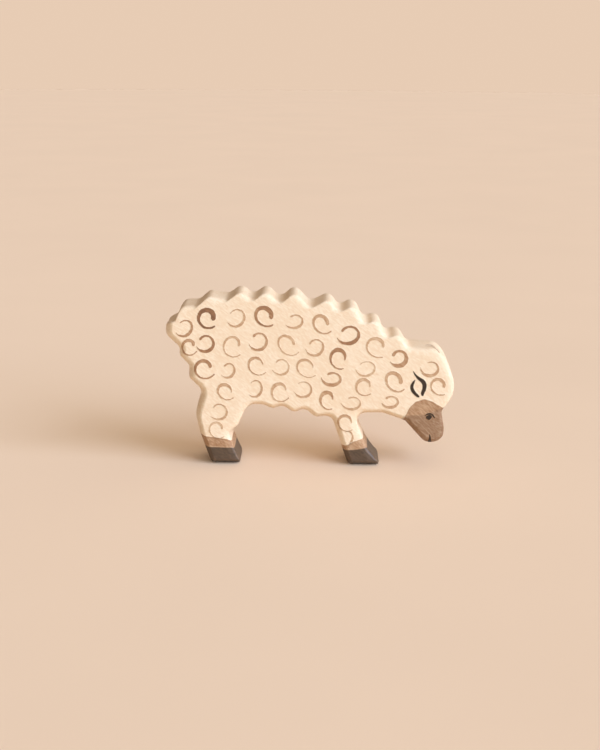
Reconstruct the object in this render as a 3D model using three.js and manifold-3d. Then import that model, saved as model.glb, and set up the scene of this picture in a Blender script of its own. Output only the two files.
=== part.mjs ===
// A small wooden sheep: one sawn board with a broken edge all round, and painted face and feet.
// Millimetres. X runs from tail to nose, Y through the board, Z up, with the soles on Z = 0.
import * as THREE from 'three';
import { mergeVertices } from 'three/addons/utils/BufferGeometryUtils.js';
import Module from 'manifold-3d';

const wasm = await Module();
wasm.setup();

// Overall size
const FIGURE_LENGTH = 115.2; // from the tail to the brow
const FIGURE_HEIGHT = 70.7; // from the soles to the highest crest of the wool
const BROW_X = FIGURE_LENGTH / 2;
const TAIL_X = -FIGURE_LENGTH / 2;

// Board
const BOARD_THICKNESS = 18;

// Broken edges: a steep chamfer on the rump, the backs of the legs, the soles and the underside,
// and a shallow eased edge on the back, the head and the fronts of the legs
const CHAMFER_WIDTH = 2.3; // how far the chamfer reaches into the face
const CHAMFER_DEPTH = 3.0; // and how far it reaches through the board
const CHAMFER_BOW = 0.62; // 1 is a flat edge, and less lets it run out softly into the face
const RUMP_WIDTH = 2.8; // width of the chamfer round the tail and down the rump
const BELLY_WIDTH = 2.4; // width of the chamfer along the belly and the throat
const EASE_WIDTH = 2.7; // how far the eased edge reaches into the face
const EASE_DEPTH = 0.5;
const EASE_BOW = 0.85;
const EDGE_STEPS = 2; // facets across each kind of edge
const FORE_WIDTH = 2.0; // width of the eased edge on slopes of the back that face the head
const REAR_WIDTH = 0.4; // and on slopes that face the tail
const NOSE_WIDTH = 1.6; // and down the nose

// Roundings that the saw leaves at the corners of the outline
const WOOL_CREST_ROUND = 3.1;
const WOOL_NOTCH_ROUND = 2.9;
const CREST_ROUND = 1.9;
const NOTCH_ROUND = 2.3;
const HEEL_ROUND = 2.2;
const TOE_ROUND = 1.0;
const LEG_ROUND = 11;
const PIT_ROUND = 4.6;
const CHIN_ROUND = 6;
const LIP_ROUND = 4.6;
const HEAD_ROUND = 14;
const SHARP_ROUND = 0.4; // least rounding of any corner, also where a crest is drawn in by the broken edge
const EDGE_SHARE = 0.48; // most of a straight that one rounding may take up
const ARC_STEPS = 3; // a rounding has twice as many facets
const WELD = 1e-4; // vertices nearer than this are one

// Hind leg: the ends of the sole as x in front of the tail's end, and the corners above it as [that x, z]
const HIND_HEEL = 17.6;
const HIND_TOE = 29.8;
const HIND_KNEE = [24.7, 12.9];
const HIND_STIFLE = [28.7, 16.3];
const HIND_GROIN = [32.6, 24.7];
const HIND_HOCK = [11.2, 21.3];
const HIND_SHIN = [13.2, 12.6];

// Fore leg, with x behind the brow
const FORE_HEEL = 42.1;
const FORE_TOE = 28.6;
const FORE_SHIN = [34.5, 7.7];
const FORE_CHEST = [40.6, 21.75];
const FORE_ELBOW = [49.0, 20.5];

// Wool: notch and crest by turns. Along the belly as [share of the way from groin to elbow, z]
const BELLY_WAVE = [
  [0.171, 24.65], [0.294, 22.95], [0.415, 24.3], [0.544, 21.4], [0.679, 23.2], [0.806, 19.65],
];

// Along the back from the neck to the tail, as [share of half the length, drop below the highest crest]
const BACK_WAVE = [
  [0.667, 21.4], [0.607, 15.9], [0.510, 17.7], [0.459, 10.0], [0.358, 12.2], [0.298, 4.2],
  [0.186, 7.5], [0.126, 1.9], [-0.007, 5.9], [-0.117, -0.7], [-0.214, 4.6], [-0.311, -0.8],
  [-0.402, 3.4], [-0.488, -0.5], [-0.573, 3.0], [-0.705, 1.7], [-0.783, 5.6], [-0.890, 5.6],
];

// Down the rump, as [x in front of the tail's end, z]
const TAIL_ROOT = [3.7, 58.95];
const TAIL_TOP = [0.2, 57.9];
const TAIL_TIP = [-0.2, 53.0];
const RUMP_WAVE = [[5.5, 47.9], [5.1, 44.75], [9.2, 40.5], [8.8, 35.4], [14.2, 30.4]];

// Head, as [x behind the brow, z]
const THROAT = [28.6, 21.8];
const JAW = [19.2, 18.6];
const CHIN = [10.8, 9.2];
const LIP = [4.6, 10.4];
const NOSE = [3.7, 15.6];
const BROW_NOTCH = [5.0, 23.1];
const FOREHEAD = [[0.9, 28.0], [-0.3, 34.6], [3.6, 44.3], [7.3, 48.8]];

// Paint: each coat is a thin shell laid over the board, and a mark on a coat lies one layer higher
const COAT_THICKNESS = 0.25;
const COAT_CLEARANCE = 0.1;
const PAINT_MARGIN = 2.5; // how far past the board a painted stretch is cut
const SOLE_BARE = 0.4; // height of bare wood left at the floor

// Upper edges of the paint on the legs: heights at even steps from behind the heel to beyond the toe
const LEG_REACH = 6;
const HIND_HOOF_EDGE = [7.2, 7.2, 7.1, 7.0, 6.8, 6.8];
const HIND_SOCK_EDGE = [12.5, 11.6, 10.9, 9.6, 9.0, 9.0];
const FORE_HOOF_EDGE = [6.5, 6.6, 7.1, 7.8, 8.0, 8.0];
const FORE_SOCK_EDGE = [7.9, 8.5, 10.8, 12.4, 12.6, 12.6];

const LEGS = [
  ['hind', TAIL_X + HIND_HEEL, TAIL_X + HIND_TOE, HIND_HOOF_EDGE, HIND_SOCK_EDGE],
  ['fore', BROW_X - FORE_HEEL, BROW_X - FORE_TOE, FORE_HOOF_EDGE, FORE_SOCK_EDGE],
];

// Edge of the painted muzzle from the jaw corner to the notch under the brow, as the head's corners are
const MUZZLE_ARCH = [[19.0, 22.4], [17.2, 26.0], [14.4, 27.9], [11.6, 28.5], [8.4, 27.3], [5.4, 25.2]];

// Painted marks on each face of the head, as a brush would draw them
const EAR_FRONT = [[16.9, 39.8], [14.7, 37.1], [12.4, 34.5], [12.3, 31.9], [13.1, 30.1]];
const EAR_REAR = [[16.1, 36.1], [17.0, 33.6], [16.1, 31.2], [14.2, 29.4]];
const EAR_STROKE = 1.6;
const EYE_LASH = [[11.7, 21.5], [9.9, 22.5], [7.7, 20.7]];
const LASH_STROKE = 0.9;
const PUPIL = [10.1, 21.2];
const PUPIL_RADIUS = 1.25;
const MOUTH = [[9.4, 13.7], [9.2, 11.6], [9.2, 8.8]];
const MOUTH_STROKE = 1.6;
const MOUTH_LATENESS = 2.2;
const EAR_LATENESS = 1.4;
const STROKE_STEPS = 10;
const EDGE_POINTS = 12; // steps along the edge of a painted stretch
const STROKE_TIP = 0.12; // share of the full width that a stroke keeps at its tip

const PAINTS = {
  wood: { color: 0xf1d6b4, roughness: 0.62, metalness: 0 },
  muzzle: { color: 0x9f7a5b, roughness: 0.6, metalness: 0 },
  sock: { color: 0xb28c6c, roughness: 0.6, metalness: 0 },
  hoof: { color: 0x54453a, roughness: 0.58, metalness: 0 },
  mark: { color: 0x38322e, roughness: 0.58, metalness: 0 },
};

const spot = ([x, z]) => new THREE.Vector2(x, z);
const onHead = ([behind, z]) => new THREE.Vector2(BROW_X - behind, z);
const onRump = ([before, z]) => new THREE.Vector2(TAIL_X + before, z);
const onBack = ([share, drop]) => new THREE.Vector2(BROW_X * share, FIGURE_HEIGHT - drop);
const onBelly = ([share, z]) => onRump(HIND_GROIN).lerp(onHead(FORE_ELBOW), share).setY(z);

const CHAMFER = { width: CHAMFER_WIDTH, depth: CHAMFER_DEPTH, bow: CHAMFER_BOW };
const BELLY = { ...CHAMFER, width: BELLY_WIDTH };
const RUMP = { ...CHAMFER, width: RUMP_WIDTH };
const EASE = { width: EASE_WIDTH, depth: EASE_DEPTH, bow: EASE_BOW };
const FORE_SLOPE = { ...EASE, width: FORE_WIDTH };
const REAR_SLOPE = { ...EASE, width: REAR_WIDTH };
const NOSE_EDGE = { ...EASE, width: NOSE_WIDTH };

// Depths below a face at which the board has a ring, close together next to the face
const RING_DEPTHS = [0];
for (const depth of [EASE_DEPTH, CHAMFER_DEPTH]) {
  for (let i = 1; i <= EDGE_STEPS; i++) RING_DEPTHS.push(depth * (i / EDGE_STEPS) ** 2);
}
RING_DEPTHS.sort((a, b) => a - b);

// How far a broken edge draws the board in at a depth below its face
const drawn = ({ width, depth, bow }, below) => width * (1 - Math.min(below / depth, 1) ** bow);

// A corner of the outline, with the broken edge along the straight after it
const corner = (point, round, edge = CHAMFER) => ({ point, round, edge });

// A wave's corners are notches and crests in turn
const wave = (points, notchEdge, crestEdge) => points.map((point, i) => (
  i % 2 ? corner(point, WOOL_CREST_ROUND, crestEdge) : corner(point, WOOL_NOTCH_ROUND, notchEdge)
));

// The saw line, anticlockwise as seen from the near side
const OUTLINE = [
  corner(onRump([HIND_HEEL, 0]), HEEL_ROUND),
  corner(onRump([HIND_TOE, 0]), TOE_ROUND, EASE),
  corner(onRump(HIND_KNEE), NOTCH_ROUND, EASE),
  corner(onRump(HIND_STIFLE), CREST_ROUND, EASE),
  corner(onRump(HIND_GROIN), PIT_ROUND, BELLY),
  ...wave(BELLY_WAVE.map(onBelly), BELLY, BELLY),
  corner(onHead(FORE_ELBOW), PIT_ROUND),
  corner(onHead([FORE_HEEL, 0]), HEEL_ROUND),
  corner(onHead([FORE_TOE, 0]), TOE_ROUND, EASE),
  corner(onHead(FORE_SHIN), LEG_ROUND, EASE),
  corner(onHead(FORE_CHEST), PIT_ROUND, BELLY),
  corner(onHead(THROAT), PIT_ROUND, BELLY),
  corner(onHead(JAW), TOE_ROUND),
  corner(onHead(CHIN), CHIN_ROUND),
  corner(onHead(LIP), LIP_ROUND, NOSE_EDGE),
  corner(onHead(NOSE), HEAD_ROUND, NOSE_EDGE),
  corner(onHead(BROW_NOTCH), NOTCH_ROUND, EASE),
  ...FOREHEAD.map((place) => corner(onHead(place), HEAD_ROUND, EASE)),
  ...wave(BACK_WAVE.map(onBack), FORE_SLOPE, REAR_SLOPE),
  corner(onRump(TAIL_ROOT), NOTCH_ROUND, REAR_SLOPE),
  corner(onRump(TAIL_TOP), CREST_ROUND, RUMP),
  corner(onRump(TAIL_TIP), PIT_ROUND, RUMP),
  ...wave(RUMP_WAVE.map(onRump), RUMP, RUMP),
  corner(onRump(HIND_HOCK), LEG_ROUND),
  corner(onRump(HIND_SHIN), LEG_ROUND),
];

const heading = (from, to) => to.clone().sub(from).normalize();
const outward = (direction) => new THREE.Vector2(direction.y, -direction.x);

// Moves every straight of the outline out by grow, and in by what its broken edge takes at a depth.
// The corners stay mitred and the roundings parallel.
function offset(corners, grow, below) {
  return corners.map(({ point, round, edge }, i) => {
    const last = corners.at(i - 1);
    const before = outward(heading(last.point, point));
    const after = outward(heading(point, corners[(i + 1) % corners.length].point));
    const moveBefore = grow - drawn(last.edge, below);
    const moveAfter = grow - drawn(edge, below);
    const move = (moveBefore + moveAfter) / 2;
    const mitre = before.clone().add(after).multiplyScalar(move / (1 + before.dot(after)));
    if (edge !== last.edge) {
      const slide = (moveAfter - moveBefore) / 2 / (1 - before.dot(after));
      mitre.add(after.clone().sub(before).multiplyScalar(slide));
    }
    const side = Math.sign(before.cross(after));
    return { point: point.clone().add(mitre), round: Math.max(round + side * move, SHARP_ROUND) };
  });
}

// The board's outline at a depth below its face, moved out by grow, with an arc in each corner
function outlineAt(below, grow) {
  const corners = offset(OUTLINE, grow, below);
  const path = new THREE.Path();
  corners.forEach(({ point, round }, i) => {
    const last = corners.at(i - 1).point;
    const next = corners[(i + 1) % corners.length].point;
    const into = heading(last, point);
    const away = heading(point, next);
    const turn = Math.atan2(into.cross(away), into.dot(away));
    const half = Math.tan(Math.abs(turn) / 2);
    const straight = Math.min(last.distanceTo(point), point.distanceTo(next));
    const reach = Math.min(round * half, EDGE_SHARE * straight);
    const radius = reach / half;
    const side = Math.sign(turn);
    const centre = point.clone().addScaledVector(into, -reach).addScaledVector(outward(into), -side * radius);
    const from = outward(into).multiplyScalar(side).angle();
    path.absarc(centre.x, centre.y, radius, from, from + turn, turn < 0);
  });
  return path.getPoints(ARC_STEPS);
}

// Skins rings of equal length and closes both ends
function loft(rings) {
  const count = rings[0].points.length;
  const positions = rings.flatMap(({ points, y }) => points.flatMap((p) => [p.x, y, p.y]));
  const faces = [];
  for (let r = 0; r + 1 < rings.length; r++) {
    for (let i = 0; i < count; i++) {
      const a = r * count + i;
      const b = r * count + ((i + 1) % count);
      faces.push(a, a + count, b, b, a + count, b + count);
    }
  }
  const top = (rings.length - 1) * count;
  for (const [a, b, c] of THREE.ShapeUtils.triangulateShape(rings[0].points, [])) faces.push(a, b, c);
  for (const [a, b, c] of THREE.ShapeUtils.triangulateShape(rings.at(-1).points, [])) {
    faces.push(top + a, top + c, top + b);
  }
  const geometry = new THREE.BufferGeometry();
  geometry.setAttribute('position', new THREE.Float32BufferAttribute(positions, 3));
  geometry.setIndex(faces);
  return geometry;
}

// The whole board, with its broken edges, thickened by grow on every side
function board(grow) {
  const near = RING_DEPTHS.map((below, i) => {
    const angle = (Math.PI / 2) * (1 - i / (RING_DEPTHS.length - 1));
    return {
      points: outlineAt(below, grow * Math.cos(angle)),
      y: -BOARD_THICKNESS / 2 + below - grow * Math.sin(angle),
    };
  });
  const far = near.toReversed().map(({ points, y }) => ({ points, y: -y }));
  return loft([...near, ...far]);
}

function solid(geometry) {
  const bare = geometry.clone();
  bare.deleteAttribute('normal');
  bare.deleteAttribute('uv');
  const merged = mergeVertices(bare, WELD);
  const vertProperties = merged.attributes.position.array;
  const triVerts = new Uint32Array(merged.index.array);
  return new wasm.Manifold(new wasm.Mesh({ numProp: 3, vertProperties, triVerts }));
}

function surface(body) {
  const { vertProperties, triVerts } = body.getMesh();
  const geometry = new THREE.BufferGeometry();
  geometry.setAttribute('position', new THREE.BufferAttribute(vertProperties, 3));
  geometry.setIndex(new THREE.BufferAttribute(triVerts, 1));
  return geometry;
}

// A prism through the board between two depths, from a shape drawn in X and Z
function prism(shape, nearY, farY) {
  const geometry = new THREE.ExtrudeGeometry(shape, { depth: farY - nearY, bevelEnabled: false });
  geometry.rotateX(Math.PI / 2);
  return solid(geometry.translate(0, farY, 0));
}

// A shell of paint round the whole board. The first lies on the wood and the second on the first.
function paintShell(layer) {
  const base = COAT_CLEARANCE + layer * (COAT_THICKNESS + COAT_CLEARANCE);
  return solid(board(base + COAT_THICKNESS)).subtract(solid(board(base)));
}

const ON_WOOD = paintShell(0);
const ON_PAINT = paintShell(1);
const PAST_FACE = BOARD_THICKNESS / 2 + PAINT_MARGIN;

// A coat of paint all the way round the board, inside a shape
const wrappedCoat = (shape) => ON_WOOD.intersect(prism(shape, -PAST_FACE, PAST_FACE));

// A mark on one face and its broken edge only: side -1 is the near face and 1 the far one
function faceMark(shell, shape, side) {
  const inner = side * (BOARD_THICKNESS / 2 - CHAMFER_DEPTH);
  const outer = side * PAST_FACE;
  return shell.intersect(prism(shape, Math.min(inner, outer), Math.max(inner, outer)));
}

// A stroke that swells from a thin tip to its full width and thins out again.
// With a lateness of 1 it is widest at its middle, and a higher one moves the widest place towards its end.
function brushStroke(route, width, lateness = 1) {
  const curve = new THREE.SplineCurve(route.map(onHead));
  const oneSide = [];
  const otherSide = [];
  for (let i = 0; i <= STROKE_STEPS; i++) {
    const t = i / STROKE_STEPS;
    const half = (width / 2) * Math.max(Math.sin(Math.PI * t ** lateness), STROKE_TIP);
    const across = outward(curve.getTangent(t)).multiplyScalar(half);
    oneSide.push(curve.getPoint(t).add(across));
    otherSide.unshift(curve.getPoint(t).sub(across));
  }
  return new THREE.Shape([...oneSide, ...otherSide]);
}

// The edge that a brush leaves across a leg, from behind the heel to beyond the toe
function legEdge(heelX, toeX, heights, rise = 0) {
  const step = (toeX - heelX + 2 * LEG_REACH) / (heights.length - 1);
  const points = heights.map((z, i) => spot([heelX - LEG_REACH + i * step, z + rise]));
  return new THREE.SplineCurve(points).getPoints(EDGE_POINTS);
}

const between = (lower, upper) => wrappedCoat(new THREE.Shape([...lower, ...upper.toReversed()]));

function hoofCoat(heelX, toeX, hoofEdge) {
  const sole = legEdge(heelX, toeX, [SOLE_BARE, SOLE_BARE]);
  return between(sole, legEdge(heelX, toeX, hoofEdge));
}

function sockCoat(heelX, toeX, hoofEdge, sockEdge) {
  return between(legEdge(heelX, toeX, hoofEdge, COAT_CLEARANCE), legEdge(heelX, toeX, sockEdge));
}

// The muzzle is painted below an arch from the jaw corner over the cheek to the notch under the brow
function muzzleCoat() {
  const jaw = onHead(JAW);
  const brow = onHead(BROW_NOTCH);
  const nose = onHead(NOSE);
  const floor = onHead(CHIN).y - PAINT_MARGIN;
  const arch = new THREE.SplineCurve([jaw, ...MUZZLE_ARCH.map(onHead)]).getPoints(EDGE_POINTS);
  const shape = new THREE.Shape([spot([jaw.x - PAINT_MARGIN, jaw.y - PAINT_MARGIN]), ...arch]);
  shape.lineTo(brow.x + PAINT_MARGIN, brow.y + COAT_THICKNESS);
  shape.lineTo(nose.x + PAINT_MARGIN, floor);
  shape.lineTo(jaw.x, floor);
  return wrappedCoat(shape);
}

// A lash over a round pupil
function eyeMark(side) {
  const centre = onHead(PUPIL);
  const pupil = new THREE.Shape();
  pupil.absarc(centre.x, centre.y, PUPIL_RADIUS, 0, 2 * Math.PI);
  const lash = faceMark(ON_PAINT, brushStroke(EYE_LASH, LASH_STROKE), side);
  return lash.add(faceMark(ON_PAINT, pupil, side));
}

const sheep = new THREE.Group();

function addPiece(name, paint, geometry) {
  const piece = new THREE.Mesh(geometry, new THREE.MeshStandardMaterial(PAINTS[paint]));
  piece.name = name;
  sheep.add(piece);
}

const addCoat = (name, paint, coat) => addPiece(`${name}_coat`, paint, surface(coat));
const addMark = (name, mark) => addPiece(name, 'mark', surface(mark));

addPiece('wooden_body', 'wood', board(0));
addCoat('muzzle', 'muzzle', muzzleCoat());
for (const [name, heelX, toeX, hoofEdge, sockEdge] of LEGS) {
  addCoat(`${name}_hoof`, 'hoof', hoofCoat(heelX, toeX, hoofEdge));
  addCoat(`${name}_sock`, 'sock', sockCoat(heelX, toeX, hoofEdge, sockEdge));
}
const earFront = brushStroke(EAR_FRONT, EAR_STROKE, EAR_LATENESS);
const earRear = brushStroke(EAR_REAR, EAR_STROKE, EAR_LATENESS);
const mouth = brushStroke(MOUTH, MOUTH_STROKE, MOUTH_LATENESS);
for (const [name, side] of [['near', -1], ['far', 1]]) {
  addMark(`${name}_ear_front_stroke`, faceMark(ON_WOOD, earFront, side));
  addMark(`${name}_ear_rear_stroke`, faceMark(ON_WOOD, earRear, side));
  addMark(`${name}_eye`, eyeMark(side));
  addMark(`${name}_mouth`, faceMark(ON_PAINT, mouth, side));
}

// The origin is under the middle of the figure
const extent = new THREE.Box2().setFromPoints(outlineAt(RING_DEPTHS.at(-1), 0));
sheep.position.x = -extent.getCenter(new THREE.Vector2()).x;

export default sheep;
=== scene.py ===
"""A wooden sheep figure: grained wood, brushed paint and a plain studio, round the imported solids.

Places and brush widths on the board are in millimetres, as the paint was laid out, and a place is (x, z)
unless a comment says otherwise. All other lengths are in metres.
"""

import math
import random

import bmesh
import bpy
from bpy.props import FloatProperty, FloatVectorProperty, PointerProperty
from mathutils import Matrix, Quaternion, Vector, noise
from mathutils.bvhtree import BVHTree
from mathutils.geometry import intersect_point_line


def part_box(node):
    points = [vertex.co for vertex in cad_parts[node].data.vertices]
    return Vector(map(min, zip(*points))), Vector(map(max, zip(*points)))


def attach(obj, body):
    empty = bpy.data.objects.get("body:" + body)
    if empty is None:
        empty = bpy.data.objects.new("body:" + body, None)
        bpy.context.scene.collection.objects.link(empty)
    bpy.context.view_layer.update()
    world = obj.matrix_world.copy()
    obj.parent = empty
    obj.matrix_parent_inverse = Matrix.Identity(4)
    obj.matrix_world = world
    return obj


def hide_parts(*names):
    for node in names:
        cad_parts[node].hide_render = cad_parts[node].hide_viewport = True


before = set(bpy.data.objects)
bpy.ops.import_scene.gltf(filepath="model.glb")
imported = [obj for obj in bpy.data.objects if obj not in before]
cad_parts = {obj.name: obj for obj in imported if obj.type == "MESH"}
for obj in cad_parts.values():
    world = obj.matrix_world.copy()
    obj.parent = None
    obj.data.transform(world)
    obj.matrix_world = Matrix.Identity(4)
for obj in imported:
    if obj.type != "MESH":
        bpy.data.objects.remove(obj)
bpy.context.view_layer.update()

bl_info = {
    "name": "Wooden Sheep",
    "version": (1, 0, 0),
    "blender": (4, 5, 0),
    "location": "View3D > Sidebar > Sheep",
    "description": "Builds a painted wooden sheep figure round its packed solids",
    "category": "Object",
}

MM = 0.001
WELD = 0.001 * MM
BODY = "sheep_body"
BOARD_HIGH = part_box("wooden_body")[1]
HALF_BOARD = BOARD_HIGH.y
SIDES = {"near": -1, "far": 1}

# The board. Its sanded edge has a ripple on the wobble, a share as high and several times as close.
CHAMFER_DEPTH = 3 * MM
FLAT_ANGLE = math.radians(0.2)
SOLE_FADE = 4 * MM
RIPPLE_SHARE = 0.4
RIPPLE_RATE = 3
GRAIN_TILT = math.radians(-40)

# Edges of the washes on the board, each drawn so that the paint is on its right
MUZZLE_EDGE = [
    (36.2, 17.4), (37.5, 19.6), (38.5, 22.1), (39.9, 24.9), (42.3, 27.3),
    (45.9, 28.4), (48.8, 27.4), (50.9, 26.2), (53.0, 24.8), (55.0, 23.6),
]
MUZZLE_BOX = ((35.5, 56.5), (8.0, 29.8))
# Below this edge the muzzle's wash is made darker and greyer: the code multiplies it by a grey colour
# there
MUZZLE_GREY_EDGE = [
    (33.0, 21.2), (37.8, 21.5), (42.7, 21.7), (46.0, 22.0),
    (48.2, 22.7), (50.2, 23.7), (53.1, 24.9), (58.0, 26.6),
]
HIND_SOCK_EDGE = [(-47.0, 12.5), (-43.7, 12.0), (-38.2, 11.3), (-33.3, 10.6), (-31.5, 9.6), (-27.0, 8.6)]
HIND_HOOF_EDGE = [(-47.0, 7.3), (-36.2, 7.2), (-32.1, 7.1), (-30.1, 6.7), (-25.0, 6.3)]
FORE_SOCK_EDGE = [(9.0, 7.4), (12.7, 8.2), (14.8, 8.6), (17.4, 10.2), (21.2, 11.4), (28.0, 13.0)]
FORE_HOOF_EDGE = [(9.0, 6.3), (15.1, 6.6), (19.5, 7.1), (23.5, 7.7), (31.0, 8.6)]
LEGS = {
    # reach along the board, coats of the sock as a share of full, and the upper edges of sock and hoof
    "hind": ((-48.0, -24.0), 1.12, HIND_SOCK_EDGE, HIND_HOOF_EDGE),
    "fore": ((8.0, 31.0), 0.90, FORE_SOCK_EDGE, FORE_HOOF_EDGE),
}
# Heights between which the legs are painted
LEG_SPAN = (0.05, 15.0)

# Margins outside those edges where the paint sinks into the wood, how far it sinks as a share of its
# film, and the facets of a wash
WASH_MARGIN = 0.7 * MM
HOOF_MARGIN = 0.6 * MM
EDGE_SINK = 0.5
WASH_FACET = 0.6 * MM

# Dark strokes on the head: the brush's path and its half width along that path
EAR_FRONT = [
    (40.8, 39.9), (41.9, 38.2), (43.3, 36.8), (44.8, 35.7),
    (45.5, 34.3), (45.4, 32.5), (44.9, 31.1), (44.8, 30.2),
]
EAR_FRONT_BRUSH = (0.10, 0.40, 0.64, 0.82, 0.86, 0.80, 0.70, 0.52)
EAR_REAR = [
    (41.7, 36.2), (41.0, 35.1), (40.5, 33.7), (40.7, 32.3), (41.6, 30.9), (42.8, 29.8), (43.2, 29.5),
]
EAR_REAR_BRUSH = (0.14, 0.48, 0.66, 0.70, 0.66, 0.58, 0.46)
LASH = [(46.0, 21.5), (47.0, 22.2), (48.1, 22.3), (49.1, 21.8), (49.7, 21.0), (50.0, 20.5)]
LASH_BRUSH = (0.14, 0.32, 0.42, 0.40, 0.28, 0.12)
PUPIL = [(47.2, 20.9), (47.6, 20.9), (48.0, 21.1)]
PUPIL_BRUSH = (0.80, 1.10, 0.88)
MOUTH = [(48.2, 13.9), (48.3, 12.5), (48.35, 11.2), (48.4, 9.8)]
MOUTH_BRUSH = (0.14, 0.38, 0.62, 0.84)

# Margin round a dark stroke, and its facets along and across. A second stroke of one mark lies higher by
# a share of the film, and the facets of any stroke cover a share of its round ends.
MARK_MARGIN = 0.22 * MM
MARK_FACETS = (28, 6)
OVERLAP_LIFT = 0.5
END_REACH = 0.97

# Wool curls: form, centre, width and height, coats of wash, brush half width, first and last angle, lean.
# Angles are in degrees, and the lean is a share of the height. A C opens towards the nose and an O
# towards the tail.
WOOL_CURLS = [
    ("thin O", -50.0, 56.2, 6.8, 7.2, 1.6, 0.60, 132, -150, 0.18),
    ("full C", -41.1, 60.2, 7.8, 8.4, 3.4, 1.00, 4, 318, 0.00),
    ("thin O", -29.4, 60.6, 7.1, 7.6, 1.0, 0.56, 145, -158, 0.12),
    ("full C", -18.4, 61.3, 7.9, 8.4, 2.1, 0.92, -2, 314, -0.12),
    ("blunt O", -6.5, 59.5, 7.1, 6.0, 0.9, 0.54, 121, -153, 0.08),
    ("full C", 4.2, 58.4, 7.2, 8.0, 1.1, 0.72, 8, 324, -0.20),
    ("blunt O", 15.0, 54.2, 9.0, 7.9, 2.0, 0.78, 142, -163, 0.12),
    ("full C", 25.8, 49.4, 8.1, 8.1, 0.9, 0.65, 11, 303, -0.06),
    ("blunt O", 35.0, 45.0, 7.3, 7.3, 1.6, 0.90, 146, -157, 0.04),
    ("thin O", 47.5, 40.9, 7.4, 6.5, 1.1, 0.62, 106, -190, 0.04),
    ("full C", 51.0, 33.6, 6.6, 7.0, 1.0, 0.62, 5, 308, -0.10),
    ("full C", -48.3, 48.4, 6.2, 6.9, 1.4, 0.64, 30, 338, 0.04),
    ("blunt O", -41.7, 50.1, 7.4, 7.3, 2.0, 0.70, 137, -158, 0.04),
    ("full C", -31.1, 49.0, 7.5, 8.5, 0.9, 0.53, 13, 320, 0.06),
    ("blunt O", -20.7, 51.2, 7.5, 7.7, 1.3, 0.64, 130, -160, 0.04),
    ("full C", -9.2, 49.8, 7.6, 8.5, 0.8, 0.53, 12, 326, -0.26),
    ("blunt O", 1.8, 49.0, 7.2, 7.3, 1.0, 0.57, 142, -168, 0.10),
    ("leaf C", 11.0, 44.6, 7.3, 8.5, 1.9, 0.85, -6, 302, 0.00),
    ("thin O", 22.1, 40.6, 7.6, 6.5, 0.7, 0.47, 139, -178, 0.14),
    ("full C", 33.5, 35.3, 7.4, 8.6, 1.0, 0.80, 0, 323, -0.24),
    ("full C", -42.4, 39.5, 7.9, 8.2, 1.8, 0.72, 26, 336, 0.00),
    ("blunt O", -32.8, 39.2, 5.9, 6.5, 1.1, 0.54, 130, -144, 0.10),
    ("leaf C", -21.4, 41.1, 7.1, 7.7, 1.1, 0.60, 18, 328, -0.12),
    ("blunt O", -11.7, 40.9, 6.8, 6.9, 0.8, 0.46, 129, -159, 0.00),
    ("leaf C", -1.8, 40.5, 7.6, 7.7, 0.9, 0.53, 8, 323, -0.18),
    ("blunt O", 8.5, 36.3, 8.1, 6.1, 1.4, 0.72, 114, -190, 0.00),
    ("leaf C", 21.3, 33.0, 6.9, 7.4, 0.9, 0.70, 11, 323, 0.00),
    ("blunt O", 32.1, 27.1, 6.9, 5.4, 1.0, 0.60, 128, -172, 0.05),
    ("leaf C", -34.0, 30.4, 6.7, 7.0, 1.0, 0.67, -3, 321, -0.12),
    ("thin O", -22.0, 31.9, 6.0, 7.4, 1.0, 0.52, 131, -143, 0.06),
    ("leaf C", -12.2, 30.4, 7.2, 8.2, 0.9, 0.70, 20, 333, 0.00),
    ("thin O", -2.8, 31.8, 7.2, 7.0, 1.0, 0.50, 124, -167, 0.00),
    ("leaf C", 6.8, 27.4, 6.5, 7.8, 1.3, 0.84, 15, 306, 0.00),
    ("blunt O", 16.6, 26.4, 7.7, 5.8, 0.9, 0.50, 108, -176, 0.00),
    ("blunt O", -36.6, 22.1, 7.2, 7.0, 0.9, 0.51, 135, -147, 0.00),
    ("full C", -37.5, 14.4, 6.4, 7.1, 0.8, 0.47, 20, 320, -0.04),
    ("leaf C", 14.2, 18.0, 6.5, 7.1, 1.0, 0.63, 3, 318, -0.08),
    ("thin O", 15.1, 11.8, 4.9, 6.3, 1.0, 0.42, 118, -102, 0.08),
]
CURL_FORMS = {
    # pressure of the brush along the way, how far the start hooks in and how far the end swings out
    "full C": ((0.92, 1.0, 0.84, 0.66, 0.52, 0.40, 0.34), 0.18, 0.30),
    "leaf C": ((0.34, 0.84, 1.0, 0.70, 0.44, 0.32, 0.26), 0.14, 0.30),
    "blunt O": ((0.68, 0.52, 0.58, 0.84, 1.0, 0.74, 0.16), 0.14, 0.16),
    "thin O": ((0.30, 0.46, 0.64, 0.86, 1.0, 0.68, 0.16), 0.04, 0.16),
}

# Shares of a curl's length where its hook ends and its swing starts, and how far the brush's path lies
# inside the curl's outline, as a share of the brush
HOOK_END = 0.22
SWING_START = 0.72
BRUSH_INSET = 0.7
CURL_MARGIN = 0.28 * MM
CURL_FACETS = (56, 8)

# How far the curls on the far face stray from those on the near face: place, degrees, lean and brush
CURL_SEED = 7
STRAY_PLACE = 0.6
STRAY_ANGLE = 14
STRAY_LEAN = 0.1
STRAY_BRUSH = 0.15

# Faint dry strokes along the crown of the head, as (x, y)
CROWN_MARKS = [
    [(45.8, -3.6), (47.6, -3.3), (49.3, -4.6)],
    [(46.4, -1.0), (48.2, -1.3), (49.8, -3.2)],
    [(48.4, -4.9), (50.0, -6.4), (51.0, -8.0)],
]
CROWN_BRUSH = (0.18, 0.30, 0.14)
CROWN_COATS = 3.2
CROWN_MARGIN = 0.2 * MM
CROWN_FACETS = (16, 4)

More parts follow.
